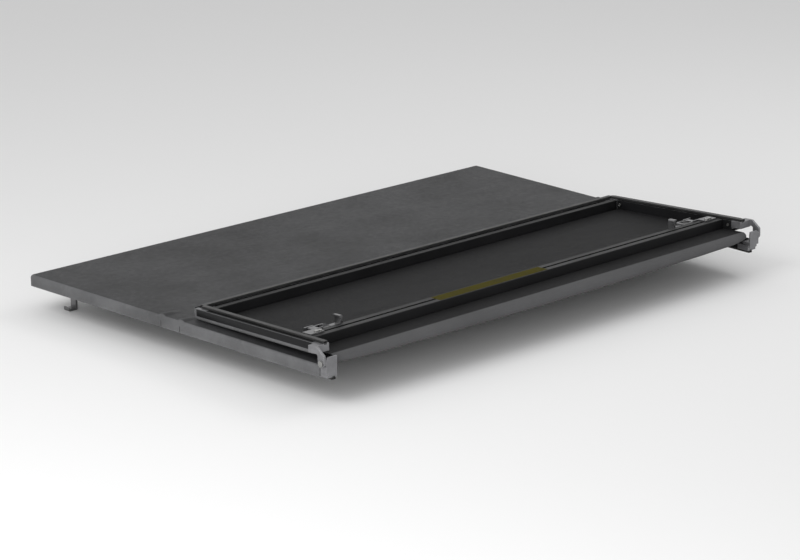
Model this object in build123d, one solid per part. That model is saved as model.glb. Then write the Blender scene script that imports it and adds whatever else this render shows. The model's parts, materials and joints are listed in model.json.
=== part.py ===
from build123d import *
from math import asin, cos, degrees, pi, radians, sin, sqrt
import os

# Soft three-panel folding cover for a short pickup bed, in millimetres.
# +X is the passenger side, +Y points at the cab, +Z is up. Z = 0 is the plane of the bed rails,
# and the origin is the middle of the underside of the seal that lies on the bulkhead.
# The rear panel is modelled lying flat and then folded forward onto the middle panel.

# Plan of the whole cover, unfolded
FRONT_EDGE = 10.0
REAR_EDGE = -1494.0
FRONT_HALF_WIDTH = 784.0
REAR_HALF_WIDTH = 732.0
TAPER = (FRONT_HALF_WIDTH - REAR_HALF_WIDTH) / (FRONT_EDGE - REAR_EDGE)

# Heights above the bed rails
SEAL_HEIGHT = 6.0
HEM_HEIGHT = 4.0
FABRIC_TOP = 32.0
FABRIC = 1.2
SKIN_GAP = 0.3
FRAME_TOP = FABRIC_TOP - FABRIC - SKIN_GAP

# Side rails and cross bows
RAIL_WIDTH = 30.0
RAIL_INSET = FABRIC + SKIN_GAP
RAIL_INNER = RAIL_INSET + RAIL_WIDTH
BOW_WIDTH = 40.0
WALL = 2.0
EDGE_RADIUS = 8.0
CORNER_RADIUS = 10.0
BOW_SLOT = 8.0
TONGUE_LENGTH = 20.0
TONGUE_GAP = 0.15

# Seals
SEAL_WIDTH = 12.0
SEAL_CENTRE = 21.0
SEAL_TONGUE_WIDTH = 8.0
SEAL_TONGUE_DEPTH = 2.5

# Front hinge: a narrow spine between two pivot lines
SPINE_PITCH = 66.0
MIDDLE_PIVOT_Y = -544.0
FRONT_PIVOT_Y = MIDDLE_PIVOT_Y + SPINE_PITCH
SPINE_PIVOT_Z = 29.0
SPINE_EYE_RADIUS = 5.0
SPINE_FABRIC_GAP = 5.2
SPINE_BLOCK_GAP = 7.0
KNUCKLE_LENGTH = 26.0
EYE_CENTRE = 17.0
EYE_WIDTH = 8.0
CHEEK_WIDTH = 6.0
SIDE_CLEARANCE = 0.3
PIN_RADIUS = 2.5
RUNNING = 0.05

# Rear hinge: raised pivots, so that the fabric folds round a soft loop
HINGE_Y = -1024.0
HINGE_Z = 42.0
HINGE_PIN_RADIUS = 4.0
PLATE_INNER = 720.0
PLATE_OUTER = 753.0
PLATE_BACK = -1034.0
PLATE_THICKNESS = 4.0
PLATE_BOTTOM = 20.0
PLATE_TOP = 56.0
BOSS_RADIUS = 9.0
BOSS_INNER = 738.0
ARM_THICKNESS = 6.0
ARM_EYE_RADIUS = 10.0
ARM_INNER = PLATE_OUTER + 0.6
ARM_BLOCK_FRONT = -1043.0
ARM_BLOCK_TOP = 24.0
MIDDLE_RAIL_END = -995.0
REAR_RAIL_START = -1073.0
MIDDLE_COVER_END = -1008.0
REAR_COVER_START = -1066.0

# Cross bows, by the y of their forward faces
BULKHEAD_BOW_Y = FRONT_EDGE - RAIL_INSET
FRONT_HINGE_BOW_Y = FRONT_PIVOT_Y + SPINE_BLOCK_GAP + KNUCKLE_LENGTH + BOW_WIDTH
MIDDLE_FRONT_BOW_Y = MIDDLE_PIVOT_Y - SPINE_BLOCK_GAP - KNUCKLE_LENGTH
MIDDLE_REAR_BOW_Y = -908.0
REAR_HINGE_BOW_Y = -1100.0
TAILGATE_BOW_Y = REAR_EDGE + RAIL_INSET + BOW_WIDTH

# Folding: the rear panel goes past half a turn, until its free edge lies on the middle panel
REST_GAP = 0.5
FOLD_CLEARANCE = 3.0
FOLD_DEPTH = 14.0
LEAN = degrees(asin((2 * (HINGE_Z - FABRIC_TOP) - REST_GAP) / (HINGE_Y - REAR_EDGE)))
FOLD = 180.0 + LEAN

# Hook clamps, about their pivot and hanging down
CLAMP_INSET = 88.0
CLAMP_PIVOT_Z = 15.0
CLAMP_HALF_WIDTH = 18.0
CHEEK = 3.0
YOKE_HALF_WIDTH = 14.6
YOKE_DEPTH = 8.0
YOKE_ARM = 2.8
YOKE_WINDOW_TOP = -9.0
YOKE_WINDOW_BOTTOM = -36.0
YOKE_BOTTOM = -40.0
TRUNNION_RADIUS = 4.0
WHEEL_RADIUS = 11.0
WHEEL_HEIGHT = 14.5
WHEEL_FLUTES = 12
STUD_RADIUS = 4.0
STUD_FLAT = 3.0
STUD_TOP = -10.5
HOOK_HALF_WIDTH = 10.0
HOOK_BOTTOM = -78.0
HOOK_FOOT = 6.0
HOOK_REACH = 24.0
HOOK_LIP = 4.0
HOOK_TRAVEL = 18.0
CLAMP_ROOF = 12.3
CLAMP_BOW_GAP = 0.0
BOLT_LINE = CLAMP_HALF_WIDTH + CLAMP_BOW_GAP + BOW_WIDTH / 2
BOLT_OFFSETS = (17.0, 28.0)
BOLT_RADIUS = 3.0
BRACKET_LENGTH = 50.0

# Rail screws
SCREW_RADIUS = 2.0
SCREW_HEAD_RADIUS = 4.0
SCREW_HEAD_HEIGHT = 2.0
SCREW_LENGTH = 14.0
SCREW_Z = 18.0


def half_width(y):
    return FRONT_HALF_WIDTH - (FRONT_EDGE - y) * TAPER


def box(x0, x1, y0, y1, z0, z1):
    """A box between two opposite corners."""
    block = Box(abs(x1 - x0), abs(y1 - y0), abs(z1 - z0))
    return Pos((x0 + x1) / 2, (y0 + y1) / 2, (z0 + z1) / 2) * block


def rod_x(x0, x1, y, z, radius):
    """A round bar along X."""
    return Pos((x0 + x1) / 2, y, z) * Rot(0, 90, 0) * Cylinder(radius, abs(x1 - x0))


def rod_y(y0, y1, x, z, radius):
    """A round bar along Y."""
    return Pos(x, (y0 + y1) / 2, z) * Rot(90, 0, 0) * Cylinder(radius, abs(y1 - y0))


def rod_z(z0, z1, x, y, radius):
    """A round bar along Z."""
    return Pos(x, y, (z0 + z1) / 2) * Cylinder(radius, abs(z1 - z0))


def side_run(profile, y_front, y_rear):
    """Extrude a profile, drawn from the passenger side line inward, along the tapering side."""
    length = (y_front - y_rear) * sqrt(1 + TAPER**2)
    start = Plane(origin=(half_width(y_front), y_front, 0), x_dir=(1, 0, 0), z_dir=(0, -1, 0))
    return extrude(start * profile, length, dir=(-TAPER, -1, 0))


def cross_run(profile, half_length, y_front):
    """Extrude a profile, drawn rearward from a bow's forward face, across the cover."""
    start = Plane(origin=(half_length, y_front, 0), x_dir=(0, -1, 0), z_dir=(-1, 0, 0))
    return extrude(start * profile, 2 * half_length, dir=(-1, 0, 0))


def rectangle(u0, u1, z0, z1):
    return Pos((u0 + u1) / 2, (z0 + z1) / 2) * Rectangle(abs(u1 - u0), abs(z1 - z0))


def mirrored(shape):
    return shape.mirror(Plane.YZ)


def folded(shape):
    """Turn a piece of the flat rear panel to where it rests on the middle panel."""
    return shape.rotate(Axis((0, HINGE_Y, HINGE_Z), (1, 0, 0)), -FOLD)


def unchanged(shape):
    return shape


def write(name, *solids):
    shape = solids[0] if len(solids) == 1 else Compound(children=list(solids))
    export_step(shape, f"parts/{name}.step")


def write_pair(name, shape, place=unchanged):
    """Write a passenger side piece and its driver side mirror image."""
    write(f"{name}_right", place(shape))
    write(f"{name}_left", place(mirrored(shape)))


def tray(y_front, y_rear, inset, z_bottom, z_top, radius, front_closed, rear_closed):
    """The block inside the cover's outline, with the edges rounded that the fabric wraps."""
    front = y_front - (inset if front_closed else 0)
    rear = y_rear + (inset if rear_closed else 0)
    corners = [
        (half_width(front) - inset, front),
        (half_width(rear) - inset, rear),
        (inset - half_width(rear), rear),
        (inset - half_width(front), front),
    ]
    outline = make_face(Polyline(*corners, close=True))
    block = extrude(Pos(0, 0, z_bottom) * outline, z_top - z_bottom)
    ends = [y for y, closed in ((front, front_closed), (rear, rear_closed)) if closed]
    uprights = block.edges().filter_by(Axis.Z)
    rounded = [e for e in uprights if any(abs(e.center().Y - y) < 1 for y in ends)]
    if rounded:
        block = fillet(rounded, CORNER_RADIUS - inset)
    top = block.faces().sort_by(Axis.Z)[-1]
    open_ends = [y for y, closed in ((front, front_closed), (rear, rear_closed)) if not closed]
    wrapped = [e for e in top.edges() if all(abs(e.center().Y - y) > 1 for y in open_ends)]
    return fillet(wrapped, radius)


def cover(y_front, y_rear, front_closed=False, rear_closed=False):
    """A panel's fabric: a flat top with skirts down its sides and its closed ends."""
    outer = tray(
        y_front, y_rear, 0, HEM_HEIGHT, FABRIC_TOP, EDGE_RADIUS, front_closed, rear_closed
    )
    past = 5.0
    inner = tray(
        y_front + (0 if front_closed else past),
        y_rear - (0 if rear_closed else past),
        FABRIC,
        HEM_HEIGHT - past,
        FABRIC_TOP - FABRIC,
        EDGE_RADIUS - FABRIC,
        front_closed,
        rear_closed,
    )
    return outer - inner


def seal_groove():
    """Groove below the side rails and castings, for the tongue of the side seal."""
    half = SEAL_TONGUE_WIDTH / 2 + RUNNING
    top = SEAL_HEIGHT + SEAL_TONGUE_DEPTH + RUNNING
    return rectangle(-SEAL_CENTRE - half, -SEAL_CENTRE + half, SEAL_HEIGHT - 1, top)


def rail_profile():
    """Side rail section: a box tube with a rounded upper outer edge and a seal groove below."""
    outer = rectangle(-RAIL_INNER, -RAIL_INSET, SEAL_HEIGHT, FRAME_TOP)
    corner = outer.vertices().sort_by(lambda v: v.X + v.Y)[-1]
    outer = fillet(corner, EDGE_RADIUS - RAIL_INSET)
    floor = SEAL_HEIGHT + SEAL_TONGUE_DEPTH + WALL
    hollow = rectangle(-RAIL_INNER + WALL, -RAIL_INSET - WALL, floor, FRAME_TOP - WALL)
    hollow = fillet(hollow.vertices().sort_by(lambda v: v.X + v.Y)[-1], EDGE_RADIUS - RAIL_INSET - WALL)
    return outer - hollow - seal_groove()


def seal_profile(centre, tongue):
    """Bulb seal section, flat below, with a tongue for the groove above it."""
    half = SEAL_WIDTH / 2
    body = rectangle(centre - half, centre + half, 0, SEAL_HEIGHT)
    body = fillet(body.vertices().sort_by(Axis.Y)[-2:], 2.0)
    bulb = Pos(centre, SEAL_HEIGHT / 2) * SlotOverall(SEAL_WIDTH - 3.0, SEAL_HEIGHT - 3.0)
    if not tongue:
        return body - bulb
    key = rectangle(
        centre - SEAL_TONGUE_WIDTH / 2,
        centre + SEAL_TONGUE_WIDTH / 2,
        SEAL_HEIGHT - 1,
        SEAL_HEIGHT + SEAL_TONGUE_DEPTH,
    )
    return body + key - bulb


def bow_profile():
    """Cross bow section: a box tube with a slot along the middle of its underside."""
    outer = fillet(rectangle(0, BOW_WIDTH, SEAL_HEIGHT, FRAME_TOP).vertices(), 1.5)
    hollow = rectangle(WALL, BOW_WIDTH - WALL, SEAL_HEIGHT + WALL, FRAME_TOP - WALL)
    slot = rectangle(
        (BOW_WIDTH - BOW_SLOT) / 2, (BOW_WIDTH + BOW_SLOT) / 2, SEAL_HEIGHT - 1, SEAL_HEIGHT + 3
    )
    return outer - hollow - slot


def bow(y_front):
    return cross_run(bow_profile(), half_width(y_front - BOW_WIDTH) - RAIL_INNER, y_front)


def frame_outline(at_front):
    """The rounded block that an end of a frame fills inside the fabric."""
    radius = EDGE_RADIUS - RAIL_INSET
    if at_front:
        return tray(FRONT_EDGE, -200, RAIL_INSET, 0, FRAME_TOP, radius, True, False)
    return tray(REAR_EDGE + 200, REAR_EDGE, RAIL_INSET, 0, FRAME_TOP, radius, False, True)


def screw_cut(y):
    """The hole of a rail screw, from the rail's inner face outward."""
    face = half_width(y) - RAIL_INNER
    return rod_x(face - 2, face + SCREW_LENGTH, y, SCREW_Z, SCREW_RADIUS)


def rail_screw(y):
    face = half_width(y) - RAIL_INNER - 1.0
    head = rod_x(face - SCREW_HEAD_HEIGHT, face, y, SCREW_Z, SCREW_HEAD_RADIUS)
    socket = rod_x(face - SCREW_HEAD_HEIGHT - 1, face - 1, y, SCREW_Z, SCREW_HEAD_RADIUS / 2)
    return head + rod_x(face, face + SCREW_LENGTH, y, SCREW_Z, SCREW_RADIUS) - socket


def rail(y_front, y_rear):
    """A side rail, drilled for the screws that hold the castings in its two ends."""
    tube = side_run(rail_profile(), y_front, y_rear)
    return tube - screw_cut(y_front - TONGUE_LENGTH / 2) - screw_cut(y_rear + TONGUE_LENGTH / 2)


def casting_block(y_front, y_rear, z_top=FRAME_TOP):
    """Solid block that carries on the side rail's outline."""
    outline = rectangle(-RAIL_INNER, -RAIL_INSET, SEAL_HEIGHT, z_top)
    if z_top == FRAME_TOP:
        outer = outline.vertices().sort_by(lambda v: v.X + v.Y)[-1]
        outline = fillet(outer, EDGE_RADIUS - RAIL_INSET)
    return side_run(outline - seal_groove(), y_front, y_rear)


def rail_tongue(y_front, y_rear, screw_y):
    """Tongue of a casting, a snug fit in the hollow of the side rail."""
    inner = RAIL_INNER - WALL - TONGUE_GAP
    outer = RAIL_INSET + WALL + TONGUE_GAP
    floor = SEAL_HEIGHT + SEAL_TONGUE_DEPTH + WALL + TONGUE_GAP
    section = rectangle(-inner, -outer, floor, FRAME_TOP - WALL - TONGUE_GAP)
    corner = section.vertices().sort_by(lambda v: v.X + v.Y)[-1]
    section = fillet(corner, EDGE_RADIUS - RAIL_INSET - WALL)
    return side_run(section, y_front, y_rear) - screw_cut(screw_y)


def corner_casting(y_front, at_front):
    """Corner of a frame, with one tongue in the side rail and one in the end bow."""
    y_rear = y_front - BOW_WIDTH
    block = casting_block(y_front, y_rear)
    block &= frame_outline(at_front)
    if at_front:
        screw_y = y_rear - TONGUE_LENGTH / 2
        tongue = rail_tongue(y_rear + 1, y_rear - TONGUE_LENGTH, screw_y)
    else:
        screw_y = y_front + TONGUE_LENGTH / 2
        tongue = rail_tongue(y_front + TONGUE_LENGTH, y_front - 1, screw_y)
    inner = half_width(y_rear) - RAIL_INNER
    inset = WALL + TONGUE_GAP
    bow_tongue = box(
        inner - TONGUE_LENGTH,
        inner + 3,
        y_front - inset,
        y_rear + inset,
        SEAL_HEIGHT + inset,
        FRAME_TOP - inset,
    )
    return block + tongue + bow_tongue


def knuckle(pivot_y, block_front, block_rear, tongue_ahead):
    """Front hinge casting: a block in a rail's end, with two cheeks beside the spine's eye."""
    block = casting_block(block_front, block_rear)
    if tongue_ahead:
        screw_y = block_front + TONGUE_LENGTH / 2
        block += rail_tongue(block_front + TONGUE_LENGTH, block_front - 1, screw_y)
    else:
        screw_y = block_rear - TONGUE_LENGTH / 2
        block += rail_tongue(block_rear + 1, block_rear - TONGUE_LENGTH, screw_y)
    near = block_rear if tongue_ahead else block_front
    inside = near + 2 if tongue_ahead else near - 2
    centre = half_width(pivot_y) - EYE_CENTRE
    for side in (-1, 1):
        start = centre + side * (EYE_WIDTH / 2 + SIDE_CLEARANCE)
        end = start + side * CHEEK_WIDTH
        neck_bottom = SPINE_PIVOT_Z - SPINE_EYE_RADIUS
        block += box(start, end, pivot_y, inside, neck_bottom, FRAME_TOP - 1)
        block += rod_x(start, end, pivot_y, SPINE_PIVOT_Z, SPINE_EYE_RADIUS)
    reach = EYE_WIDTH + 2 * CHEEK_WIDTH
    return block - rod_x(centre - reach, centre + reach, pivot_y, SPINE_PIVOT_Z, PIN_RADIUS + RUNNING)


def spine_link():
    """The link of the front hinge: a short block with an eye at each end."""
    link = casting_block(FRONT_PIVOT_Y - SPINE_BLOCK_GAP, MIDDLE_PIVOT_Y + SPINE_BLOCK_GAP)
    for pivot_y, inward in ((FRONT_PIVOT_Y, -1), (MIDDLE_PIVOT_Y, 1)):
        centre = half_width(pivot_y) - EYE_CENTRE
        x0 = centre - EYE_WIDTH / 2
        x1 = centre + EYE_WIDTH / 2
        inside = pivot_y + inward * (SPINE_BLOCK_GAP + 2)
        link += box(x0, x1, pivot_y, inside, SPINE_PIVOT_Z - SPINE_EYE_RADIUS, FRAME_TOP - 1)
        link += rod_x(x0, x1, pivot_y, SPINE_PIVOT_Z, SPINE_EYE_RADIUS)
        link -= rod_x(x0 - 1, x1 + 1, pivot_y, SPINE_PIVOT_Z, PIN_RADIUS)
    return link


def spine_pin(pivot_y):
    centre = half_width(pivot_y) - EYE_CENTRE
    reach = EYE_WIDTH / 2 + SIDE_CLEARANCE + CHEEK_WIDTH + 0.5
    return rod_x(centre - reach, centre + reach, pivot_y, SPINE_PIVOT_Z, PIN_RADIUS)


def rear_hinge_casting():
    """Casting on the middle panel that carries the raised pivot and ends in an upright plate."""
    screw_y = MIDDLE_RAIL_END + TONGUE_LENGTH / 2
    casting = rail_tongue(MIDDLE_RAIL_END + TONGUE_LENGTH, MIDDLE_RAIL_END - 1, screw_y)
    casting += casting_block(MIDDLE_RAIL_END, PLATE_BACK + PLATE_THICKNESS, PLATE_BOTTOM)
    casting += box(PLATE_INNER, BOSS_INNER + 8, MIDDLE_COVER_END - 1, PLATE_BACK, PLATE_BOTTOM - 6, 28)
    plate_front = PLATE_BACK + PLATE_THICKNESS
    plate = box(PLATE_INNER, PLATE_OUTER, PLATE_BACK, plate_front, PLATE_BOTTOM, PLATE_TOP)
    outer_top = plate.edges().filter_by(Axis.Y).sort_by(lambda e: e.center().X + e.center().Z)[-1]
    casting += fillet(outer_top, CORNER_RADIUS)
    casting += rod_x(BOSS_INNER, PLATE_OUTER, HINGE_Y, HINGE_Z, BOSS_RADIUS)
    casting += box(
        BOSS_INNER, PLATE_OUTER, PLATE_BACK + 1, HINGE_Y + BOSS_RADIUS, PLATE_BOTTOM, HINGE_Z
    )
    return casting - rod_x(BOSS_INNER - 5, PLATE_OUTER + 1, HINGE_Y, HINGE_Z, HINGE_PIN_RADIUS)


def rear_hinge_pin():
    head = ARM_INNER + ARM_THICKNESS + 0.3
    pin = rod_x(BOSS_INNER, head, HINGE_Y, HINGE_Z, HINGE_PIN_RADIUS)
    return pin + rod_x(head, head + 2.5, HINGE_Y, HINGE_Z, 7.0)


def gooseneck_arm():
    """Arm of the rear panel, curving up from the end of its side rail to the raised pivot."""
    block_rear = REAR_RAIL_START
    screw_y = block_rear - TONGUE_LENGTH / 2
    arm = rail_tongue(block_rear + 1, block_rear - TONGUE_LENGTH, screw_y)
    arm += casting_block(ARM_BLOCK_FRONT, block_rear, ARM_BLOCK_TOP)
    bridge_inner = half_width(block_rear) - RAIL_INNER / 3
    bridge_rear = REAR_COVER_START + 2
    arm += box(bridge_inner, ARM_INNER + 1, ARM_BLOCK_FRONT, bridge_rear, SEAL_HEIGHT, ARM_BLOCK_TOP)
    outline = Polyline(
        (HINGE_Y - ARM_EYE_RADIUS, HINGE_Z),
        (HINGE_Y - ARM_EYE_RADIUS, ARM_BLOCK_TOP - 2),
        (bridge_rear, ARM_BLOCK_TOP - 2),
        (bridge_rear, SEAL_HEIGHT),
        (ARM_BLOCK_FRONT + 6, SEAL_HEIGHT),
        (HINGE_Y + ARM_EYE_RADIUS, ARM_BLOCK_TOP),
        (HINGE_Y + ARM_EYE_RADIUS, HINGE_Z),
        close=True,
    )
    neck = Plane.YZ * make_face(outline)
    plate = Pos(ARM_INNER, 0, 0) * extrude(neck, ARM_THICKNESS, dir=(1, 0, 0))
    elbows = plate.edges().filter_by(Axis.X).sort_by(lambda e: abs(e.center().Z - ARM_BLOCK_TOP))
    arm += fillet(elbows[:2], 5.0)
    arm += rod_x(ARM_INNER, ARM_INNER + ARM_THICKNESS, HINGE_Y, HINGE_Z, ARM_EYE_RADIUS)
    cut = HINGE_PIN_RADIUS + RUNNING
    return arm - rod_x(ARM_INNER - 1, ARM_INNER + ARM_THICKNESS + 1, HINGE_Y, HINGE_Z, cut)


def folded_point(y, z):
    """Where a point of the flat rear panel goes when the panel is folded, as (y, z)."""
    turn = radians(FOLD)
    dy = y - HINGE_Y
    dz = z - HINGE_Z
    return HINGE_Y + dy * cos(turn) + dz * sin(turn), HINGE_Z - dy * sin(turn) + dz * cos(turn)


def fold_fabric():
    """The loop of fabric behind the rear hinge, from the middle panel up to the folded one."""
    half_length = PLATE_INNER - FOLD_CLEARANCE
    lean = radians(LEAN)
    faces = []
    for height in (FABRIC_TOP, FABRIC_TOP - FABRIC):
        landing = folded_point(REAR_COVER_START, height)
        faces.append(
            Spline(
                (MIDDLE_COVER_END, height),
                (HINGE_Y - FOLD_DEPTH - (FABRIC_TOP - height), (height + landing[1]) / 2),
                landing,
                tangents=[(-1, 0), (cos(lean), -sin(lean))],
            )
        )
    upper, lower = faces
    section = make_face([upper, lower, Line(upper @ 0, lower @ 0), Line(upper @ 1, lower @ 1)])
    return extrude(Plane.YZ * section, half_length, both=True)


def clamp_bracket():
    """Bracket of a clamp: two cheeks for the trunnions, a roof, and a foot under the bow."""
    roof = CLAMP_ROOF
    cheek_end = TRUNNION_RADIUS + 13.0
    start = -TRUNNION_RADIUS - 7.0
    bracket = box(start, BRACKET_LENGTH, -CLAMP_HALF_WIDTH, CLAMP_HALF_WIDTH, roof, roof + CHEEK)
    inner = CLAMP_HALF_WIDTH - CHEEK
    bottom = -CLAMP_PIVOT_Z + SEAL_HEIGHT
    bracket += box(start, cheek_end, -CLAMP_HALF_WIDTH, -inner, bottom, roof + 1)
    bracket += box(start, BRACKET_LENGTH, inner, CLAMP_HALF_WIDTH, bottom - CHEEK, roof + 1)
    foot_end = BOLT_LINE + BOW_SLOT / 2 + 1
    foot_start = TRUNNION_RADIUS + 4.0
    bracket += box(foot_start, BRACKET_LENGTH, inner, foot_end, bottom - CHEEK, bottom - RUNNING)
    bracket -= rod_y(-CLAMP_HALF_WIDTH - 1, CLAMP_HALF_WIDTH + 1, 0, 0, TRUNNION_RADIUS + RUNNING)
    for x in BOLT_OFFSETS:
        bracket -= rod_z(bottom - CHEEK - 1, bottom + 1, x, BOLT_LINE, BOLT_RADIUS)
    return bracket


def clamp_bolt(x):
    """Bolt of a clamp's foot, with its nut held in the slot of the bow."""
    seat = -CLAMP_PIVOT_Z + SEAL_HEIGHT - CHEEK
    head = Pos(x, BOLT_LINE, seat - 4.0) * extrude(RegularPolygon(5.5, 6), 4.0)
    slot_top = -CLAMP_PIVOT_Z + SEAL_HEIGHT + WALL
    nut = box(x - 5, x + 5, BOLT_LINE - 7, BOLT_LINE + 7, slot_top + 0.1, slot_top + 4.1)
    return head + rod_z(seat, slot_top + 2, x, BOLT_LINE, BOLT_RADIUS) + nut


def clamp_yoke():
    """Swinging frame of a clamp, open in the middle for the thumbwheel."""
    yoke = box(-YOKE_DEPTH, YOKE_DEPTH, -YOKE_HALF_WIDTH, YOKE_HALF_WIDTH, YOKE_BOTTOM, YOKE_DEPTH)
    yoke = fillet(yoke.edges().filter_by(Axis.Y), 3.0)
    window = YOKE_HALF_WIDTH - YOKE_ARM
    yoke -= box(-20, 20, -window, window, YOKE_WINDOW_BOTTOM, YOKE_WINDOW_TOP)
    yoke += rod_y(-CLAMP_HALF_WIDTH, CLAMP_HALF_WIDTH, 0, 0, TRUNNION_RADIUS)
    return yoke - stud(YOKE_BOTTOM - 1, YOKE_WINDOW_BOTTOM + 1, 0.1)


def stud(z_bottom, z_top, clearance=0.0):
    """Threaded stud with two flats, which keep the hook from turning."""
    round_stud = rod_z(z_bottom, z_top, 0, 0, STUD_RADIUS + clearance)
    flat = STUD_FLAT + clearance
    return round_stud & box(-flat, flat, -20, 20, z_bottom, z_top)


def thumbwheel():
    """Fluted wheel with the thread that draws the hook up."""
    bottom = YOKE_WINDOW_BOTTOM + 0.2
    top = bottom + WHEEL_HEIGHT
    wheel = rod_z(bottom, top, 0, 0, WHEEL_RADIUS)
    wheel = chamfer(wheel.edges().filter_by(GeomType.CIRCLE), 1.0)
    for i in range(WHEEL_FLUTES):
        angle = 2 * pi * i / WHEEL_FLUTES
        x = (WHEEL_RADIUS + 0.6) * cos(angle)
        y = (WHEEL_RADIUS + 0.6) * sin(angle)
        wheel -= rod_z(bottom - 1, top + 1, x, y, 1.6)
    return wheel - rod_z(bottom - 1, top + 1, 0, 0, STUD_RADIUS + RUNNING)


def clamp_hook():
    """Hook that reaches outward under the flange of the bed rail."""
    shank_top = YOKE_BOTTOM - 12.0
    hook = stud(shank_top - 2, STUD_TOP)
    hook += box(-STUD_FLAT, STUD_FLAT, -HOOK_HALF_WIDTH, HOOK_HALF_WIDTH, HOOK_BOTTOM, shank_top)
    foot_top = HOOK_BOTTOM + HOOK_FOOT
    foot = box(-STUD_FLAT, HOOK_REACH, -HOOK_HALF_WIDTH, HOOK_HALF_WIDTH, HOOK_BOTTOM, foot_top)
    lip = box(
        HOOK_REACH - HOOK_LIP,
        HOOK_REACH,
        -HOOK_HALF_WIDTH,
        HOOK_HALF_WIDTH,
        foot_top - 1,
        foot_top + HOOK_LIP,
    )
    hook += foot + lip
    bend = [e for e in hook.edges().filter_by(Axis.Y) if abs(e.center().Z - HOOK_BOTTOM) < 0.1]
    return fillet(bend, 3.0)


def write_clamps(end, bow_y, stowed, place=unchanged):
    """Write the two hook clamps that stand behind a bow, left and right."""
    clamp_y = bow_y - BOW_WIDTH - CLAMP_HALF_WIDTH - CLAMP_BOW_GAP
    pivot = Pos(half_width(clamp_y) - CLAMP_INSET, clamp_y, CLAMP_PIVOT_Z)
    swing = pivot * Rot(0, 90, 0) if stowed else pivot
    write_pair(f"{end}_clamp_bracket", pivot * clamp_bracket(), place)
    write_pair(f"{end}_clamp_yoke", swing * clamp_yoke(), place)
    write_pair(f"{end}_clamp_wheel", swing * thumbwheel(), place)
    write_pair(f"{end}_clamp_hook", swing * clamp_hook(), place)
    bolts = [pivot * clamp_bolt(x) for x in BOLT_OFFSETS]
    bolts += [mirrored(bolt) for bolt in bolts]
    write(f"{end}_clamp_bolts", *[place(bolt) for bolt in bolts])


def write_screws(name, places, place=unchanged):
    screws = [rail_screw(y) for y in places]
    screws += [mirrored(screw) for screw in screws]
    write(name, *[place(screw) for screw in screws])


def write_side_seals(name, y_front, y_rear, place=unchanged):
    seal = side_run(seal_profile(-SEAL_CENTRE, True), y_front, y_rear)
    write(name, place(seal), place(mirrored(seal)))


def write_front_panel():
    block = FRONT_PIVOT_Y + SPINE_BLOCK_GAP
    rail_front = BULKHEAD_BOW_Y - BOW_WIDTH
    rail_rear = block + KNUCKLE_LENGTH
    write("front_cover", cover(FRONT_EDGE, FRONT_PIVOT_Y + SPINE_FABRIC_GAP, front_closed=True))
    write("bulkhead_bow", bow(BULKHEAD_BOW_Y) & frame_outline(True))
    write("front_hinge_bow", bow(FRONT_HINGE_BOW_Y))
    write_pair("front_rail", rail(rail_front, rail_rear))
    write_pair("front_corner", corner_casting(BULKHEAD_BOW_Y, True))
    write_pair("front_knuckle", knuckle(FRONT_PIVOT_Y, rail_rear, block, True))
    seal_half = half_width(0) - SEAL_CENTRE
    write("bulkhead_seal", cross_run(seal_profile(0, False), seal_half, 0))
    write_side_seals("front_side_seals", -SEAL_WIDTH / 2, block)
    offset = TONGUE_LENGTH / 2
    write_screws("front_screws", (rail_front - offset, rail_rear + offset))
    write_clamps("front", BULKHEAD_BOW_Y, False)


def write_spine():
    gap = SPINE_FABRIC_GAP
    write("spine_fabric", cover(FRONT_PIVOT_Y - gap, MIDDLE_PIVOT_Y + gap))
    write_pair("spine_link", spine_link())
    pins = [spine_pin(FRONT_PIVOT_Y), spine_pin(MIDDLE_PIVOT_Y)]
    block_gap = SPINE_BLOCK_GAP
    write_side_seals("spine_side_seals", FRONT_PIVOT_Y - block_gap, MIDDLE_PIVOT_Y + block_gap)
    write("spine_pins", *pins, *[mirrored(pin) for pin in pins])


def write_middle_panel():
    block = MIDDLE_PIVOT_Y - SPINE_BLOCK_GAP
    rail_front = block - KNUCKLE_LENGTH
    write("middle_cover", cover(MIDDLE_PIVOT_Y - SPINE_FABRIC_GAP, MIDDLE_COVER_END))
    write("middle_front_bow", bow(MIDDLE_FRONT_BOW_Y))
    write("middle_rear_bow", bow(MIDDLE_REAR_BOW_Y))
    write_pair("middle_rail", rail(rail_front, MIDDLE_RAIL_END))
    write_pair("middle_knuckle", knuckle(MIDDLE_PIVOT_Y, block, rail_front, False))
    write_pair("rear_hinge_casting", rear_hinge_casting())
    write("rear_hinge_pins", rear_hinge_pin(), mirrored(rear_hinge_pin()))
    write("hinge_fabric", fold_fabric())
    write_side_seals("middle_side_seals", block, PLATE_BACK + PLATE_THICKNESS)
    offset = TONGUE_LENGTH / 2
    write_screws("middle_screws", (rail_front - offset, MIDDLE_RAIL_END + offset))


def write_rear_panel():
    rail_rear = TAILGATE_BOW_Y
    write("rear_cover", folded(cover(REAR_COVER_START, REAR_EDGE, rear_closed=True)))
    write("rear_hinge_bow", folded(bow(REAR_HINGE_BOW_Y)))
    write("tailgate_bow", folded(bow(TAILGATE_BOW_Y) & frame_outline(False)))
    write_pair("rear_rail", rail(REAR_RAIL_START, rail_rear), folded)
    write_pair("rear_corner", corner_casting(TAILGATE_BOW_Y, False), folded)
    write_pair("rear_hinge_arm", gooseneck_arm(), folded)
    seal_half = half_width(REAR_EDGE) - SEAL_CENTRE
    seal_y = REAR_EDGE + FRONT_EDGE
    write("tailgate_seal", folded(cross_run(seal_profile(0, False), seal_half, seal_y)))
    seal_rear = seal_y + SEAL_WIDTH / 2
    write_side_seals("rear_side_seals", ARM_BLOCK_FRONT, seal_rear, folded)
    offset = TONGUE_LENGTH / 2
    write_screws("rear_screws", (REAR_RAIL_START - offset, rail_rear + offset), folded)
    write_clamps("rear", REAR_HINGE_BOW_Y, True, folded)


os.makedirs("parts", exist_ok=True)
write_front_panel()
write_spine()
write_middle_panel()
write_rear_panel()
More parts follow.
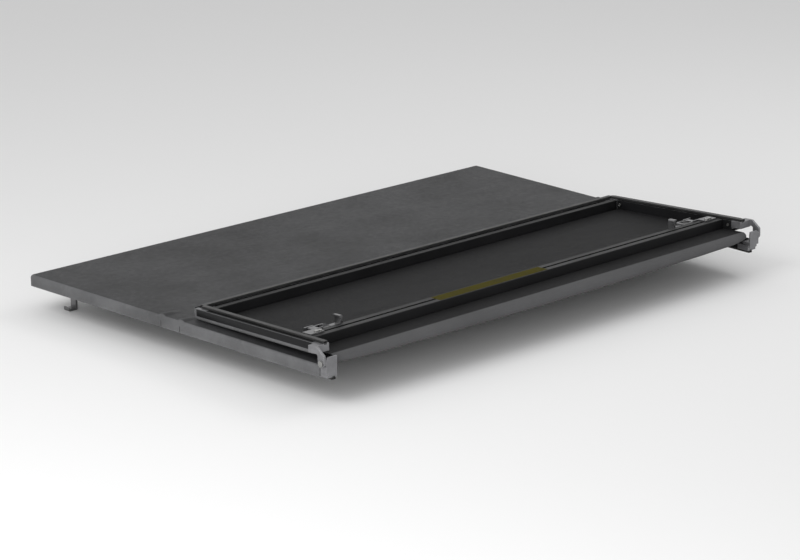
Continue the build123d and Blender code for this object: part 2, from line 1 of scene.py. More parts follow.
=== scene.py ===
import json
from math import cos, pi, radians, sin, sqrt

import bmesh
import bpy
from mathutils import Matrix, Vector, noise


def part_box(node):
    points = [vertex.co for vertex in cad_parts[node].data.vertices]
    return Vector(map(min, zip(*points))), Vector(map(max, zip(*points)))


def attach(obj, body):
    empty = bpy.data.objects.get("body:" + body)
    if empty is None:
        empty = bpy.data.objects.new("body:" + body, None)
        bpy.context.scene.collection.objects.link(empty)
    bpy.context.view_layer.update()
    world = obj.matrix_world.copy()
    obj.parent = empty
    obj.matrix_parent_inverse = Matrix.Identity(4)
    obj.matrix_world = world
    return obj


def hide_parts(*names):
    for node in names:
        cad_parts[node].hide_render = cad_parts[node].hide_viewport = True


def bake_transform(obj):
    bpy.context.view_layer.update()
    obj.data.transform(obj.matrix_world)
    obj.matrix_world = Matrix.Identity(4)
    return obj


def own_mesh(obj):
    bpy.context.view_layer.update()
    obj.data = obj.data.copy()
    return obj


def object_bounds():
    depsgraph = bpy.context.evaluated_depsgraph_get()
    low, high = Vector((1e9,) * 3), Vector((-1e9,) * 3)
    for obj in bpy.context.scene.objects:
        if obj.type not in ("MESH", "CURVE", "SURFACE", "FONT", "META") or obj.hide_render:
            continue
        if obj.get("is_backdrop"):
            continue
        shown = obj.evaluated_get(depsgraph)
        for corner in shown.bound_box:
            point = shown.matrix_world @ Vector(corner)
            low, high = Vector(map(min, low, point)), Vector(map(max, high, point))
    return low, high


bl_info = {
    "name": "Soft folding tonneau cover",
    "version": (1, 0, 0),
    "blender": (4, 5, 0),
    "location": "3D View > Sidebar > Cover",
    "description": "Fabric, finishes and stage for a three-panel folding bed cover",
    "category": "Object",
}

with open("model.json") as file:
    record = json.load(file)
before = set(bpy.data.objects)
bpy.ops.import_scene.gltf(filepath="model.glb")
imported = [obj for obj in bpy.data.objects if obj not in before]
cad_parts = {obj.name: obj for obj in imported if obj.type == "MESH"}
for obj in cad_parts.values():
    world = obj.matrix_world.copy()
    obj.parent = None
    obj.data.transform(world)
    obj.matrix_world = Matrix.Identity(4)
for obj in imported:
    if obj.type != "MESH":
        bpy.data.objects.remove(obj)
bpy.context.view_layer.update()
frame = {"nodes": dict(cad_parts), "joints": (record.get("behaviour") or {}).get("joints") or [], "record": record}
NODES = frame["nodes"]
JOINTS = {joint["name"]: joint for joint in frame["joints"]}
SLOT_OF = {part["node"]: part["material_slot"] for part in frame["record"]["subparts"]}

# The outline of the cover. It narrows evenly towards the tailgate
SPINE_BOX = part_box("spine_fabric")
MIDDLE_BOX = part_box("middle_cover")
FRONT_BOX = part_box("front_cover")
TAPER = (SPINE_BOX[1].x - MIDDLE_BOX[1].x) / (SPINE_BOX[1].y - MIDDLE_BOX[1].y)
TOP = MIDDLE_BOX[1].z
HEM = MIDDLE_BOX[0].z

FRONT_EDGE = FRONT_BOX[1].y
SPINE_MIDDLE = (SPINE_BOX[0].y + SPINE_BOX[1].y) / 2
MIDDLE_END = MIDDLE_BOX[0].y
FRONT_PIVOT = Vector(JOINTS["front_fold"]["pos_m"])
MIDDLE_PIVOT = Vector(JOINTS["middle_fold"]["pos_m"])
REAR_PIVOT = Vector(JOINTS["rear_fold"]["pos_m"])
FOLD_FORWARD = Matrix.Rotation(-radians(JOINTS["rear_fold"]["range_deg"][1]), 3, "X")
LOOP_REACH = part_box("hinge_fabric")[1].x

# Places and shares that shape the fabric; lengths in metres
RAIL_INSET = 0.032  # from the cover's side to where the fabric hangs free
CUFF = 0.012  # how gently the rise over a hinge barrel ends towards the middle
SLIT_MARGIN = 0.004  # skirt left whole between a slit and the rounded edge
LOWER_ARC = (-pi / 2, 0.1)  # the lower loop half, from the panel's edge round to past the crest
UPPER_ARC = (-0.3, pi / 2)  # the upper loop half, which laps over the lower one
LOOP_FULLNESS = 0.85  # under 1 makes the loop's section squarer than an ellipse
LOOP_WAVE = 0.0012
GATHERED = 0.45  # share of its depth that the loop keeps at its two ends
LAP_TUCK = 1.2  # the lower half inside the upper one, in thicknesses of fabric
LOOP_SINK = 0.3  # share of the loop's slack that hangs down
TRIM_SETBACK = 0.0005  # from the hem to the edge trim
STICKER_LAND = 0.84  # share of the bow's width that the sticker takes
STICKER_CORNER = 0.002
STICKER_THICKNESS = 0.00025
STICKER_LIFT = 0.0001
FLOOR_SIZE = 30.0
FLOOR_GAP = 0.0002
LAMPS = {  # size and place of each lamp
    "key": ((2.6, 2.0), (-3.4, -0.6, 3.0)),
    "rim": ((2.6, 1.0), (2.3, -1.5, 2.6)),
    "side": ((3.0, 1.2), (-3.4, -3.0, 0.9)),
}


def half_width(y):
    """Half of the cover's width at a place along it."""
    return MIDDLE_BOX[1].x + (y - MIDDLE_BOX[1].y) * TAPER


def folded(point):
    """Where a point of the flat rear panel is once the panel is folded forward."""
    return REAR_PIVOT + FOLD_FORWARD @ (Vector(point) - REAR_PIVOT)


def unfolded(point):
    """Where a point of the folded rear panel is once the panel lies flat."""
    return REAR_PIVOT + FOLD_FORWARD.transposed() @ (Vector(point) - REAR_PIVOT)


def flat_box(node):
    """A rear panel node's box, as it is when the panel lies flat."""
    corners = [unfolded(vert.co) for vert in NODES[node].data.vertices]
    low = Vector([min(corner[axis] for corner in corners) for axis in range(3)])
    high = Vector([max(corner[axis] for corner in corners) for axis in range(3)])
    return low, high


REAR_EDGE = flat_box("rear_cover")[0].y
REAR_COVER_START = flat_box("rear_cover")[1].y


def length(label, text, value):
    return bpy.props.FloatProperty(name=label, description=text, default=value, unit="LENGTH")


def colour(label, text, value):
    return bpy.props.FloatVectorProperty(
        name=label, description=text, default=value, size=3, subtype="COLOR", min=0, max=1
    )


class CoverSizes(bpy.types.PropertyGroup):
    """Sizes of what is made here, in metres."""

    fabric: length("Fabric", "Thickness of the vinyl", 0.0012)
    edge_radius: length("Edge radius", "Round where top turns into skirt", 0.008)
    corner_radius: length("Corner radius", "Round of the cover's four corners", 0.01)
    cell: length("Cell", "Spacing of the fabric's mesh", 0.016)
    droop: length("Droop", "How far the fabric hangs between bows", 0.0016)
    ripple: length("Ripple", "Height of the slack waves in the fabric", 0.0032)
    pleat: length("Pleat", "Half of the strip that bends at a front hinge", 0.01)
    slit: length("Slit", "Cut in the skirt at a front hinge", 0.0022)
    flap: length("Flap", "From the rear pivot to the rear fabric's edge", 0.014)
    loop_depth: length("Loop depth", "How far the hinge fabric stands out", 0.028)
    loop_slack: length("Loop slack", "Extra depth in the middle of the loop", 0.012)
    loop_gather: length("Loop gather", "Length of the pulled-in part at each end", 0.09)
    trim_height: length("Trim height", "Height of the rear panel's edge trim", 0.0165)
    trim: length("Trim", "Thickness of the rear panel's edge trim", 0.0018)
    barrel_reach: length("Barrel reach", "Half of the rise over a hinge barrel", 0.011)
    barrel_room: length("Barrel room", "Room left above a hinge barrel", 0.0003)
    stitch: length("Stitch", "Length of a stitch", 0.0042)
    stitch_pitch: length("Stitch pitch", "From one stitch to the next", 0.0058)
    stitch_height: length("Stitch height", "Hem row above the hem", 0.0085)
    thread: length("Thread", "Half of the thread's width", 0.0004)
    sticker_length: length("Sticker length", "Length of the blank sticker", 0.365)
    sticker_centre: length("Sticker centre", "Where the sticker is across the bow", -0.125)


class CoverColours(bpy.types.PropertyGroup):
    """Colours of the finishes."""

    vinyl: colour("Vinyl", "Grained face of the cover", (0.037, 0.0373, 0.039))
    # The skirt colour is the top vinyl's colour painted lighter: painted side light on the skirts.
    skirt: colour("Skirt", "Smoother vinyl of the skirts", (0.112, 0.1128, 0.116))
    backing: colour("Backing", "Knitted back of the vinyl", (0.0085, 0.0085, 0.009))
    # A lighter copy of the backing for the outside of the rear hinge loop: painted light, standing for the lit
    # crest of the loop.
    painted_loop_light: colour("Web", "Back of the reinforced strip round the rear hinge", (0.078, 0.078, 0.0805))
    coat: colour("Powder coat", "Rails and bows", (0.0045, 0.0045, 0.005))
    casting: colour("Casting", "Corners, knuckles and hinge castings", (0.205, 0.205, 0.213))
    seal: colour("Seal", "Bulb seals", (0.012, 0.012, 0.012))
    zinc: colour("Zinc", "Screws, pins and bolts", (0.34, 0.34, 0.33))
    clamp: colour("Clamp metal", "Hooks, yokes and brackets", (0.23, 0.23, 0.234))
    wheel: colour("Thumbwheel", "Moulded wheels of the clamps", (0.014, 0.014, 0.015))
    thread: colour("Thread", "Hem stitching", (0.03, 0.03, 0.032))
    sticker: colour("Sticker", "Blank sticker on the hinge bow", (0.054, 0.046, 0.003))
    floor: colour("Floor", "Studio floor", (0.88, 0.88, 0.88))


class CoverStage(bpy.types.PropertyGroup):
    """The stage: camera and lights."""

    camera_place: bpy.props.FloatVectorProperty(
        name="Camera",
        description="Where the camera stands",
        default=(-4.636, -5.28, 1.959),
        subtype="TRANSLATION",
    )
    margin: bpy.props.FloatProperty(
        name="Margin",
        description="Share of the picture left free at each side",
        default=0.035,
        subtype="FACTOR",
    )
    sky: bpy.props.FloatProperty(
        name="Sky", description="Strength of the light from all round", default=0.6
    )
    key: bpy.props.FloatProperty(
        name="Key", description="Power of the lamp beside the camera", default=58.0, subtype="POWER"
    )
    rim: bpy.props.FloatProperty(
        name="Rim", description="Power of the lamp over the hinge loop", default=16.0, subtype="POWER"
    )
    side: bpy.props.FloatProperty(
        name="Side", description="Power of the low lamp beside the skirts", default=62.0, subtype="POWER"
    )


def sizes():
    return bpy.context.scene.cover_sizes


def colours():
    return bpy.context.scene.cover_colours


# Materials


def node(tree, kind, inputs=None, **settings):
    """Add a shader node. An input is given as a value, or as the socket that feeds it."""
    made = tree.nodes.new(kind)
    for name, value in settings.items():
        setattr(made, name, value)
    for name, value in (inputs or {}).items():
        if isinstance(value, bpy.types.NodeSocket):
            tree.links.new(value, made.inputs[name])
        else:
            made.inputs[name].default_value = value
    return made


def ramp(tree, factor, stops):
    """A colour ramp through (place, grey) stops."""
    made = node(tree, "ShaderNodeValToRGB", {"Fac": factor})
    elements = made.color_ramp.elements
    while len(elements) < len(stops):
        elements.new(0.5)
    for element, (place, grey) in zip(elements, stops):
        element.position = place
        element.color = (grey, grey, grey, 1)
    return made.outputs["Color"]


def blend_colours(tree, factor, first, second):
    made = node(tree, "ShaderNodeMix", data_type="RGBA")
    for socket, value in ((made.inputs[0], factor), (made.inputs[6], first), (made.inputs[7], second)):
        if isinstance(value, bpy.types.NodeSocket):
            tree.links.new(value, socket)
        else:
            socket.default_value = value
    return made.outputs[2]


def maths(tree, operation, first, second=0.0):
    made = node(tree, "ShaderNodeMath", operation=operation)
    for socket, value in zip(made.inputs, (first, second)):
        if isinstance(value, bpy.types.NodeSocket):
            tree.links.new(value, socket)
        else:
            socket.default_value = value
    return made.outputs[0]


def between(tree, tone, low, high):
    """Turn a tone into a value from low to high."""
    return node(tree, "ShaderNodeMapRange", {"Value": tone, "To Min": low, "To Max": high}).outputs["Result"]


def noise_at(tree, vector, **values):
    """Noise over a surface. An underscore in a name stands for a space."""
    inputs = {label.replace("_", " "): value for label, value in values.items()}
    return node(tree, "ShaderNodeTexNoise", {"Vector": vector, **inputs}).outputs


def new_group(name, inputs, outputs):
    """A node group with its sockets, as (tree, its inputs' sockets, its output node)."""
    tree = bpy.data.node_groups.new(name, "ShaderNodeTree")
    for label, value in inputs.items():
        socket = tree.interface.new_socket(label, in_out="INPUT", socket_type="NodeSocketFloat")
        socket.default_value = value
    for label, kind in outputs.items():
        tree.interface.new_socket(label, in_out="OUTPUT", socket_type="NodeSocket" + kind)
    return tree, tree.nodes.new("NodeGroupInput").outputs, tree.nodes.new("NodeGroupOutput").inputs


def place(material, name, values=None):
    """Put a shared group into a material, with this material's own values."""
    made = material.nodes.new("ShaderNodeGroup")
    made.node_tree = bpy.data.node_groups[name]
    for label, value in (values or {}).items():
        made.inputs[label].default_value = value
    return made.outputs


def object_coordinates(tree, scale=(1, 1, 1)):
    coordinates = node(tree, "ShaderNodeTexCoord").outputs["Object"]
    if scale == (1, 1, 1):
        return coordinates
    return node(tree, "ShaderNodeMapping", {"Vector": coordinates, "Scale": scale}).outputs["Vector"]


def make_grain_group():
    """Pebbled leather grain: raised cells between fine creases, with pores."""
    tree, given, out = new_group("grain", {"Cells": 620.0}, {"Height": "Float", "Creases": "Float"})
    coordinates = object_coordinates(tree)
    bend = noise_at(tree, coordinates, Scale=260.0, Detail=2.0)["Color"]
    shift = node(tree, "ShaderNodeVectorMath", {0: bend, "Scale": 0.0022}, operation="SCALE").outputs[0]
    bent = node(tree, "ShaderNodeVectorMath", {0: coordinates, 1: shift}, operation="ADD").outputs[0]
    cells = node(
        tree,
        "ShaderNodeTexVoronoi",
        {"Vector": bent, "Scale": given["Cells"], "Randomness": 0.9},
        feature="DISTANCE_TO_EDGE",
    )
    domes = ramp(tree, cells.outputs["Distance"], ((0.0, 0.0), (0.11, 0.62), (0.4, 1.0)))
    pores = noise_at(tree, bent, Scale=maths(tree, "MULTIPLY", given["Cells"], 1.7))
    fine = maths(tree, "MULTIPLY", pores[0], 0.3)
    tree.links.new(maths(tree, "ADD", domes, fine), out["Height"])
    tree.links.new(ramp(tree, cells.outputs["Distance"], ((0.0, 1.0), (0.1, 0.0))), out["Creases"])


def make_blotch_group():
    """Slow variation of tone over a surface, from handling and dust."""
    tree, given, out = new_group("blotches", {"Scale": 5.0, "Contrast": 1.0}, {"Tone": "Float"})
    broad = noise_at(tree, object_coordinates(tree), Scale=given["Scale"], Detail=5.0, Roughness=0.6)
    centred = maths(tree, "SUBTRACT", broad[0], 0.5)
    scaled = maths(tree, "MULTIPLY", centred, given["Contrast"])
    tone = node(tree, "ShaderNodeMath", {0: scaled, 1: 0.5}, operation="ADD", use_clamp=True)
    tree.links.new(tone.outputs[0], out["Tone"])


def make_edge_group():
    """Softened edges, and a mask of where they are rubbed, which also paints highlights along them."""
    tree, given, out = new_group(
        "edges", {"Radius": 0.0008, "Breakup": 90.0}, {"Worn": "Float", "Normal": "Vector"}
    )
    soft = node(tree, "ShaderNodeBevel", {"Radius": given["Radius"]}, samples=4)
    true_normal = node(tree, "ShaderNodeNewGeometry").outputs["Normal"]
    facing = node(
        tree, "ShaderNodeVectorMath", {0: soft.outputs["Normal"], 1: true_normal}, operation="DOT_PRODUCT"
    ).outputs["Value"]
    turned = ramp(tree, facing, ((0.7, 1.0), (0.985, 0.0)))
    patches = noise_at(tree, object_coordinates(tree), Scale=given["Breakup"], Detail=3.0)
    broken = ramp(tree, patches[0], ((0.38, 0.15), (0.62, 1.0)))
    tree.links.new(maths(tree, "MULTIPLY", turned, broken), out["Worn"])
    tree.links.new(soft.outputs["Normal"], out["Normal"])


def make_speckle_group():
    """Fine roughness of a sprayed, cast or moulded surface."""
    tree, given, out = new_group("speckle", {"Scale": 1500.0, "Detail": 3.0}, {"Height": "Float"})
    fine = noise_at(tree, object_coordinates(tree), Scale=given["Scale"], Detail=given["Detail"])
    tree.links.new(fine[0], out["Height"])


def make_weave_group():
    """Knitted scrim on the back of the vinyl."""
    tree, given, out = new_group("weave", {"Threads": 900.0}, {"Height": "Float"})
    heights = []
    for direction in ("X", "Y"):
        band = node(
            tree,
            "ShaderNodeTexWave",
            {"Vector": object_coordinates(tree), "Scale": given["Threads"], "Distortion": 0.6, "Detail": 1.0},
            bands_direction=direction,
        )
        heights.append(band.outputs[1])
    tree.links.new(maths(tree, "MULTIPLY", *heights), out["Height"])


def make_brushing_group():
    """Straight drawing and brushing marks along X, as on rolled and drawn metal."""
    tree, given, out = new_group("brushing", {"Scale": 60.0}, {"Height": "Float"})
    marks = noise_at(tree, object_coordinates(tree, (1.5, 30, 30)), Scale=given["Scale"], Detail=4.0)
    tree.links.new(marks[0], out["Height"])


def make_ripple_group():
    """Slack and packing creases of a stretched sheet, longer across the cover than along it."""
    tree, given, out = new_group("ripples", {"Scale": 5.0}, {"Height": "Float", "Creases": "Float"})
    scale = given["Scale"]
    waves = noise_at(tree, object_coordinates(tree, (0.55, 1.6, 1)), Scale=scale, Detail=3.0, Roughness=0.45)
    tree.links.new(waves[0], out["Height"])
    lines = noise_at(tree, object_coordinates(tree, (0.4, 2.2, 1)), Scale=scale, Detail=2.0, Distortion=0.8)
    ridge = maths(tree, "ABSOLUTE", maths(tree, "SUBTRACT", lines[0], 0.5))
    tree.links.new(ramp(tree, ridge, ((0.0, 1.0), (0.018, 0.0))), out["Creases"])


GROUPS = (
    make_grain_group,
    make_blotch_group,
    make_edge_group,
    make_speckle_group,
    make_weave_group,
    make_brushing_group,
    make_ripple_group,
)


def new_material(name, **constants):
    """A material with a Principled shader, as (material, its tree, the shader)."""
    material = bpy.data.materials.new(name)
    material.use_nodes = True
    tree = material.node_tree
    shader = tree.nodes["Principled BSDF"]
    for label, value in constants.items():
        shader.inputs[label.replace("_", " ")].default_value = value
    return material, tree, shader


def opaque(value, factor=1.0):
    return tuple(min(1.0, channel * factor) for channel in value) + (1.0,)


def feed(tree, shader, sockets):
    for label, socket in sockets.items():
        tree.links.new(socket, shader.inputs[label])


def bump(tree, height, distance, strength=1.0, normal=None):
    inputs = {"Height": height, "Distance": distance, "Strength": strength}
    if normal is not None:
        inputs["Normal"] = normal
    return node(tree, "ShaderNodeBump", inputs).outputs["Normal"]


def vinyl_material(name, tint, cells, depth):
    """Matte vinyl with a leather grain, slow changes of tone and faint packing creases."""
    material, tree, shader = new_material(name, Specular_IOR_Level=0.22)
    grain = place(tree, "grain", {"Cells": cells})
    tone = place(tree, "blotches", {"Scale": 4.0, "Contrast": 2.2})["Tone"]
    fine_tone = place(tree, "blotches", {"Scale": 70.0, "Contrast": 1.4})["Tone"]
    ripple = place(tree, "ripples", {"Scale": 5.5})
    base = blend_colours(tree, tone, opaque(tint, 0.5), opaque(tint, 1.6))
    mottled = blend_colours(tree, maths(tree, "MULTIPLY", fine_tone, 0.35), base, opaque(tint, 0.7))
    # The grain's creases are painted darker: painted shade in the recesses between the raised cells.
    crease_shade_mask = maths(tree, "MULTIPLY", grain["Creases"], 0.35)
    crease_shaded = blend_colours(tree, crease_shade_mask, mottled, opaque(tint, 0.45))
    lined = blend_colours(tree, maths(tree, "MULTIPLY", ripple["Creases"], 0.1), crease_shaded, opaque(tint, 1.9))
    rough = between(tree, fine_tone, 0.5, 0.68)
    slow = bump(tree, ripple["Height"], 0.0075, 0.5)
    normal = bump(tree, grain["Height"], depth, 0.55, slow)
    feed(tree, shader, {"Base Color": lined, "Roughness": rough, "Normal": normal})
    return material


def backing_material(name, tint, threads):
    """Back of the vinyl: a thin knitted scrim pressed into dark plastic."""
    material, tree, shader = new_material(name, Specular_IOR_Level=0.07, Sheen_Weight=0.02)
    shader.inputs["Sheen Roughness"].default_value = 0.5
    tone = place(tree, "blotches", {"Scale": 4.0, "Contrast": 1.8})["Tone"]
    fine_tone = place(tree, "blotches", {"Scale": 120.0, "Contrast": 1.2})["Tone"]
    ripple = place(tree, "ripples", {"Scale": 6.5})
    knit = place(tree, "weave", {"Threads": threads})["Height"]
    base = blend_colours(tree, tone, opaque(tint, 0.8), opaque(tint, 1.2))
    knitted = blend_colours(tree, maths(tree, "MULTIPLY", knit, 0.3), base, opaque(tint, 1.5))
    rough = between(tree, fine_tone, 0.5, 0.68)
    slow = bump(tree, ripple["Height"], 0.008, 0.5)
    normal = bump(tree, knit, 0.00018, 0.6, slow)
    feed(tree, shader, {"Base Color": knitted, "Roughness": rough, "Normal": normal})
    return material


def coat_material():
    """Satin black powder coat on extruded aluminium, rubbed thin along the edges and painted lighter there as edge
    highlights.
    """
    material, tree, shader = new_material("powder_coat", Specular_IOR_Level=0.22)
    edges = place(tree, "edges", {"Radius": 0.0009, "Breakup": 60.0})
    peel = place(tree, "speckle", {"Scale": 1300.0})["Height"]
    tone = place(tree, "blotches", {"Scale": 9.0, "Contrast": 1.6})["Tone"]
    base = blend_colours(tree, tone, opaque(colours().coat, 0.75), opaque(colours().coat, 1.5))
    # Lighter along the edges: partly rubbed coat, partly painted highlight.
    edge_wear_and_highlight = blend_colours(tree, maths(tree, "MULTIPLY", edges["Worn"], 0.7), base, (0.26, 0.26, 0.265, 1))
    rough = between(tree, tone, 0.4, 0.56)
    normal = bump(tree, peel, 0.00008, 0.5, edges["Normal"])
    feed(tree, shader, {"Base Color": edge_wear_and_highlight, "Roughness": rough, "Normal": normal})
    return material


def casting_material():
    """Grey die-cast corners and hinge blocks, tumbled and lightly oxidised."""
    material, tree, shader = new_material("die_casting", Metallic=0.65)
    edges = place(tree, "edges", {"Radius": 0.0012, "Breakup": 140.0})
    skin = place(tree, "speckle", {"Scale": 750.0, "Detail": 5.0})["Height"]
    tone = place(tree, "blotches", {"Scale": 38.0, "Contrast": 1.8})["Tone"]
    base = blend_colours(tree, tone, opaque(colours().casting, 0.72), opaque(colours().casting, 1.18))
    # Lighter along the edges: partly wear, partly painted highlight.
    edge_wear_and_highlight = blend_colours(tree, maths(tree, "MULTIPLY", edges["Worn"], 0.6), base, (0.62, 0.62, 0.63, 1))
    rough = between(tree, tone, 0.34, 0.55)
    normal = bump(tree, skin, 0.00016, 0.55, edges["Normal"])
    feed(tree, shader, {"Base Color": edge_wear_and_highlight, "Roughness": rough, "Normal": normal})
    return material


def seal_material():
    """Matte foam rubber with a little grey bloom."""
    material, tree, shader = new_material("seal_rubber", Specular_IOR_Level=0.5)
    edges = place(tree, "edges", {"Radius": 0.0006, "Breakup": 50.0})
    pores = place(tree, "speckle", {"Scale": 2200.0})["Height"]
    tone = place(tree, "blotches", {"Scale": 24.0, "Contrast": 2.0})["Tone"]
    base = blend_colours(tree, tone, opaque(colours().seal, 0.7), opaque(colours().seal, 2.0))
    rough = between(tree, tone, 0.42, 0.62)
    normal = bump(tree, pores, 0.0001, 0.6, edges["Normal"])
    feed(tree, shader, {"Base Color": base, "Roughness": rough, "Normal": normal})
    return material


def metal_material(name, tint, rough_range, brushed):
    """Bare plated or drawn metal: bright, with drawing marks and dull patches."""
    material, tree, shader = new_material(name, Metallic=1.0)
    edges = place(tree, "edges", {"Radius": 0.0005, "Breakup": 200.0})
    tone = place(tree, "blotches", {"Scale": 45.0, "Contrast": 1.8})["Tone"]
    marks = place(tree, "brushing" if brushed else "speckle", {"Scale": 60.0} if brushed else None)["Height"]
    base = blend_colours(tree, tone, opaque(tint, 0.7), opaque(tint, 1.15))
    # Lighter along the edges: partly wear, partly painted highlight.
    edge_wear_and_highlight = blend_colours(tree, maths(tree, "MULTIPLY", edges["Worn"], 0.35), base, (0.7, 0.7, 0.7, 1))
    low, high = rough_range
    rough = between(tree, tone, low, high)
    normal = bump(tree, marks, 0.00005, 0.5, edges["Normal"])
    feed(tree, shader, {"Base Color": edge_wear_and_highlight, "Roughness": rough, "Normal": normal})
    return material


def plastic_material():
    """Glass-filled nylon of the thumbwheels."""
    material, tree, shader = new_material("moulded_nylon", Specular_IOR_Level=0.5)
    edges = place(tree, "edges", {"Radius": 0.0005, "Breakup": 260.0})
    skin = place(tree, "speckle", {"Scale": 1900.0})["Height"]
    tone = place(tree, "blotches", {"Scale": 90.0, "Contrast": 1.5})["Tone"]
    base = blend_colours(tree, tone, opaque(colours().wheel, 0.8), opaque(colours().wheel, 1.6))
    # Lighter along the edges: partly wear, partly painted highlight.
    edge_wear_and_highlight = blend_colours(tree, maths(tree, "MULTIPLY", edges["Worn"], 0.3), base, (0.09, 0.09, 0.09, 1))
    rough = between(tree, tone, 0.38, 0.55)
    normal = bump(tree, skin, 0.00007, 0.5, edges["Normal"])
    feed(tree, shader, {"Base Color": edge_wear_and_highlight, "Roughness": rough, "Normal": normal})
    return material


def thread_material():
    """Bonded polyester thread."""
    material, tree, shader = new_material("hem_thread", Specular_IOR_Level=0.4, Sheen_Weight=0.2)
    twist = place(tree, "brushing", {"Scale": 190.0})["Height"]
    tone = place(tree, "blotches", {"Scale": 300.0, "Contrast": 1.6})["Tone"]
    base = blend_colours(tree, tone, opaque(colours().thread, 0.7), opaque(colours().thread, 1.7))
    rough = between(tree, tone, 0.42, 0.62)
    feed(tree, shader, {"Base Color": base, "Roughness": rough, "Normal": bump(tree, twist, 0.0001, 0.5)})
    return material


def sticker_material():
    """A plain blank sticker, faded and scuffed."""
    material, tree, shader = new_material("blank_sticker", Specular_IOR_Level=0.04)
    tone = place(tree, "blotches", {"Scale": 26.0, "Contrast": 1.8})["Tone"]
    scuff = place(tree, "speckle", {"Scale": 600.0, "Detail": 6.0})["Height"]
    base = blend_colours(tree, tone, opaque(colours().sticker, 0.65), opaque(colours().sticker, 1.25))
    scuffed = ramp(tree, scuff, ((0.55, 0.0), (0.8, 0.45)))
    rubbed = blend_colours(tree, scuffed, base, opaque(colours().sticker, 0.3))
    rough = between(tree, tone, 0.6, 0.8)
    feed(tree, shader, {"Base Color": rubbed, "Roughness": rough, "Normal": bump(tree, scuff, 0.00004, 0.4)})
    return material


def floor_material():
    """Pale, even studio floor that still takes the cover's shadow."""
    material, tree, shader = new_material("studio_floor", Roughness=0.9, Specular_IOR_Level=0.1)
    tone = place(tree, "blotches", {"Scale": 0.6, "Contrast": 0.5})["Tone"]
    shade = blend_colours(tree, tone, opaque(colours().floor, 0.985), opaque(colours().floor, 1.015))
    tree.links.new(shade, shader.inputs["Base Color"])
    return material


# Meshes


def piece_from(mesh, name, *materials):
    """Make an object of a finished mesh, at the origin."""
    data = bpy.data.meshes.new(name)
    for face in mesh.faces:
        face.smooth = True
    for edge in mesh.edges:
        edge.smooth = not edge.is_boundary
    mesh.to_mesh(data)
    mesh.free()
    for material in materials:
        data.materials.append(material)
    made = bpy.data.objects.new(name, data)
    bpy.context.scene.collection.objects.link(made)
    return made


def thicken(piece, thickness):
    """Give a sheet its thickness, inward from its outer face, with its back's materials inside."""
    wall = piece.modifiers.new("wall", "SOLIDIFY")
    wall.thickness = thickness
    wall.offset = -1
    wall.material_offset = len(piece.data.materials) // 2
    wall.use_even_offset = True


def cut(mesh, point, normal):
    """Cut new edges through a whole mesh along a plane."""
    everything = mesh.verts[:] + mesh.edges[:] + mesh.faces[:]
    bmesh.ops.bisect_plane(mesh, geom=everything, dist=1e-7, plane_co=point, plane_no=normal)


def bevel(mesh, edges, radius, segments):
    bmesh.ops.bevel(
        mesh,
        geom=edges,
        offset=radius,
        offset_type="OFFSET",
        segments=segments,
        profile=0.5,
        affect="EDGES",
        material=-1,
        clamp_overlap=False,
    )


def skin_shell(y_front, y_rear, front_closed, rear_closed):
    """A block of the cover's outline, open below and at its open ends, with rounded edges."""
    mesh = bmesh.new()
    bmesh.ops.create_cube(mesh, size=1.0)
    for vert in mesh.verts:
        y = y_front if vert.co.y > 0 else y_rear
        side = 1 if vert.co.x > 0 else -1
        vert.co = (side * half_width(y), y, TOP if vert.co.z > 0 else HEM)
    mesh.normal_update()
    gone = [
        face
        for face in mesh.faces
        if face.normal.z < -0.5
        or (face.normal.y > 0.5 and not front_closed)
        or (face.normal.y < -0.5 and not rear_closed)
    ]
    bmesh.ops.delete(mesh, geom=gone, context="FACES")
    uprights = [
        edge
        for edge in mesh.edges
        if abs(edge.verts[0].co.z - edge.verts[1].co.z) > 0.01 and len(edge.link_faces) == 2
    ]
    if uprights:
        bevel(mesh, uprights, sizes().corner_radius, 6)
    mesh.normal_update()
    rims = [
        edge
        for edge in mesh.edges
        if len(edge.link_faces) == 2
        and max(face.normal.z for face in edge.link_faces) > 0.9
        and min(face.normal.z for face in edge.link_faces) < 0.1
    ]
    bevel(mesh, rims, sizes().edge_radius, 6)
    mesh.normal_update()
    # Faces that do not look straight up take the skirt vinyl, which is painted lighter as side light.
    for face in mesh.faces:
        face.material_index = int(face.normal.z < 0.95)
    return mesh


def grid_cuts(mesh, y_front, y_rear, extra=()):
    """Cut a shell into cells, with rows fanned to its taper and extra rows where it bends."""
    cell = sizes().cell
    rows = int((y_front - y_rear) / cell)
    places = [y_front + (y_rear - y_front) * i / rows for i in range(1, rows)]
    for y in [*places, *extra]:
        cut(mesh, (0, y, 0), (0, 1, 0))
    y_middle = (y_front + y_rear) / 2
    columns = int(half_width(y_middle) / cell) - 1
    for i in range(-columns, columns + 1):
        share = i / (columns + 1)
        cut(mesh, (share * half_width(y_middle), y_middle, 0), (1, -share * TAPER, 0))
    for z in (HEM + sizes().fabric, (HEM + TOP) / 2):
        cut(mesh, (0, 0, z), (0, 0, 1))


def relax(mesh, bays, direction, seed):
    """Let the fabric sag in the bays of its frame, and give it slack waves."""
    for vert in mesh.verts:
        x, y, z = vert.co
        if z < TOP - 1e-5:
            continue
        for bay_front, bay_rear in bays:
            if bay_rear < y < bay_front:
                along = (bay_front - y) / (bay_front - bay_rear)
                inside = half_width(y) - RAIL_INSET
                across = max(0.0, 1 - (abs(x) / inside) ** 10)
                hang = 4 * along * (1 - along) * across
                wave = noise.fractal(Vector((x * 3.2, y * 8.5, seed)), 1.0, 2.0, 3)
                vert.co.z -= direction * sizes().droop * hang
                vert.co.z += sizes().ripple * wave * sqrt(max(0.0, hang)) * 0.6
    mesh.normal_update()


